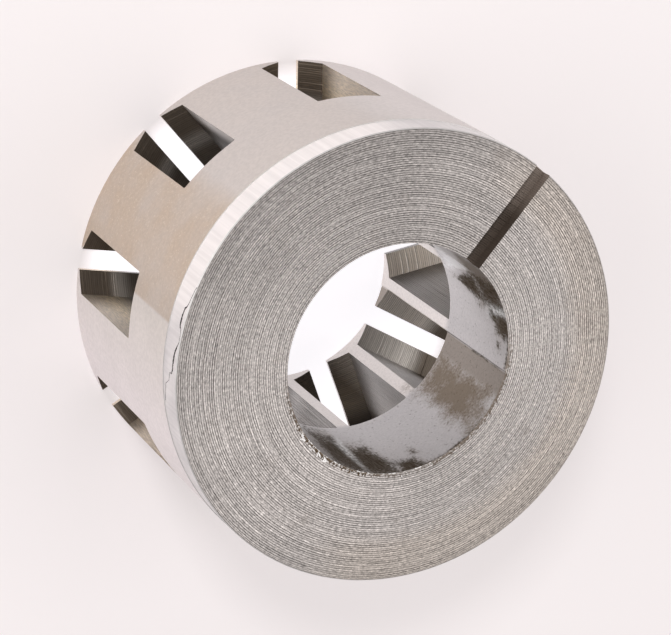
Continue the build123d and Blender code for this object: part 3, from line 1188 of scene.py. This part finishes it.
class STATOR_OT_seam(bpy.types.Operator):
    """Build the open end of the outer turn on the band"""

    bl_idname = "stator.seam"
    bl_label = "Band seam"

    def execute(self, context):
        sizes, colours = context.scene.stator_sizes, context.scene.stator_colours
        seam = small_mesh("band_seam", *seam_ribbon(sizes), open_seam(colours))
        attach(seam, "root")
        return {"FINISHED"}


class STATOR_OT_burrs(bpy.types.Operator):
    """Build the torn burrs along the bore's edge"""

    bl_idname = "stator.burrs"
    bl_label = "Bore burrs"

    def execute(self, context):
        sizes, colours = context.scene.stator_sizes, context.scene.stator_colours
        burrs = small_mesh("bore_burrs", *burr_ribbons(sizes), torn_burrs(colours))
        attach(burrs, "root")
        return {"FINISHED"}


class STATOR_OT_stage(bpy.types.Operator):
    """Set up the floor, the light and the camera"""

    bl_idname = "stator.stage"
    bl_label = "Stage"

    def execute(self, context):
        settings = context.scene.stator_stage
        studio_floor(settings)
        studio_world(settings)
        studio_lamps()
        camera(settings)
        context.scene.view_settings.view_transform = "Standard"
        return {"FINISHED"}


# Distances in metres from the origin: over the first the floor turns from the painted light under the core to
# its pale colour, and over the second it comes to glow more
RING_EDGE = (0.058, 0.0645)
GLOW_RISE = (0.3, 1.8)

# Soft lamps: name, place and side in metres, and power in watts
LAMPS = (
    ("key", (0.26, 0.92, 1.2), 0.22, 7.0),
    ("top", (0.9, 0.52, 0.85), 0.5, 1.6),
    ("side", (-0.5, 0.87, 0.9), 0.9, 6.0),
    ("far", (0.5, -0.6, 0.9), 0.9, 4.0),
)
LAMP_AIM = (0, 0, 0.04)


def painted_board(settings):
    """Painted board: to the eye a pale floor with faint shadows, and to the light a plain matt surface."""
    material = bpy.data.materials.new("painted_board_floor")
    material.use_nodes = True
    tree = material.node_tree
    tree.nodes.clear()
    seen = add(tree, "LightPath")
    for ray in ("Is Glossy Ray", "Is Transmission Ray"):
        seen = add(tree, "Math", (seen, add(tree, "LightPath", out=ray)), operation="MAXIMUM")
    plain = add(tree, "BsdfDiffuse", {"Color": settings.floor})
    faint = add(tree, "BsdfDiffuse", {"Color": settings.floor_shade})
    place = add(tree, "TexCoord", out=3)
    away = add(tree, "VectorMath", (place,), out=1, operation="LENGTH")
    outward = add(tree, "MapRange", (away, *RING_EDGE))
    # inside the ring the floor is whiter and glows at full strength: painted light where the core's shadow
    # falls
    shown = add(tree, "Mix", {0: outward, 6: settings.floor_painted_light_under, 7: settings.floor}, **COLOUR)
    # far from the lamps the floor glows more, so that it meets the background without a line
    strength = add(tree, "MapRange", (away, *GLOW_RISE, settings.floor_glow, settings.far_glow), **SMOOTH)
    strength = add(tree, "Mix", {0: outward, 2: 1.0, 3: strength})
    glow = add(tree, "Emission", {"Color": shown, "Strength": strength})
    both = add(tree, "AddShader", (faint, glow))
    add(tree, "OutputMaterial", {"Surface": add(tree, "MixShader", (seen, plain, both))})
    return material


def studio_floor(settings):
    """Flat square floor round the origin."""
    half = settings.floor_size / 2
    mesh = bpy.data.meshes.new("floor")
    corners = [(-half, -half, 0), (half, -half, 0), (half, half, 0), (-half, half, 0)]
    mesh.from_pydata(corners, [], [(0, 1, 2, 3)])
    mesh.materials.append(painted_board(settings))
    made = bpy.data.objects.new("floor", mesh)
    bpy.context.scene.collection.objects.link(made)


def studio_world(settings):
    """Even white light from all sides, with the floor's colour as the background that the camera sees."""
    world = bpy.data.worlds.new("studio")
    bpy.context.scene.world = world
    world.use_nodes = True
    tree = world.node_tree
    tree.nodes.clear()
    shown = add(tree, "Background", {"Color": settings.floor, "Strength": 1.0})
    light = add(tree, "Background", {"Color": (1, 1, 1), "Strength": settings.world})
    seen = add(tree, "LightPath")
    add(tree, "OutputWorld", {"Surface": add(tree, "MixShader", (seen, light, shown))})


def studio_lamps():
    """Four soft square lamps that face the core."""
    for name, place, side, power in LAMPS:
        lamp = bpy.data.lights.new(name, "AREA")
        lamp.size = side
        lamp.energy = power
        made = bpy.data.objects.new(name, lamp)
        made.location = place
        made.rotation_euler = (Vector(LAMP_AIM) - Vector(place)).to_track_quat("-Z", "Y").to_euler()
        bpy.context.scene.collection.objects.link(made)


def camera(settings):
    """Camera at its place, looking at its aim, rolled round the line of sight."""
    place, aim = Vector(settings.place), Vector(settings.aim)
    back = (place - aim).normalized()
    level = Vector((0, 0, 1)).cross(back).normalized()
    upright = back.cross(level)
    right = level * np.cos(settings.roll) + upright * np.sin(settings.roll)
    up = back.cross(right)
    data = bpy.data.cameras.new("camera")
    data.lens = settings.lens
    data.sensor_width = SENSOR
    data.sensor_fit = "HORIZONTAL"
    data.clip_start = 0.01
    made = bpy.data.objects.new("camera", data)
    turn = Matrix((right, up, back)).transposed().to_4x4()
    made.matrix_world = Matrix.Translation(place) @ turn
    bpy.context.scene.collection.objects.link(made)
    bpy.context.scene.camera = made


class STATOR_PT_panel(bpy.types.Panel):
    """Sizes, colours and pieces of the stator core"""

    bl_idname = "STATOR_PT_panel"
    bl_label = "Stator core"
    bl_space_type = "VIEW_3D"
    bl_region_type = "UI"
    bl_category = "Stator"

    def draw(self, context):
        for group in (context.scene.stator_sizes, context.scene.stator_colours, context.scene.stator_stage):
            box = self.layout.box()
            for name in group.__annotations__:
                box.prop(group, name)
        for operator in OPERATORS:
            self.layout.operator(operator.bl_idname)


GROUPS = (StatorSizes, StatorColours, StatorStage)
OPERATORS = (STATOR_OT_core, STATOR_OT_seam, STATOR_OT_burrs, STATOR_OT_stage)
CLASSES = GROUPS + OPERATORS + (STATOR_PT_panel,)


def register():
    for item in CLASSES:
        bpy.utils.register_class(item)
    bpy.types.Scene.stator_sizes = PointerProperty(type=StatorSizes)
    bpy.types.Scene.stator_colours = PointerProperty(type=StatorColours)
    bpy.types.Scene.stator_stage = PointerProperty(type=StatorStage)


def unregister():
    for name in ("stator_sizes", "stator_colours", "stator_stage"):
        delattr(bpy.types.Scene, name)
    for item in reversed(CLASSES):
        bpy.utils.unregister_class(item)


def main():
    register()
    bpy.ops.stator.core()
    bpy.ops.stator.seam()
    bpy.ops.stator.burrs()
    bpy.ops.stator.stage()


if __name__ == "__main__":
    main()
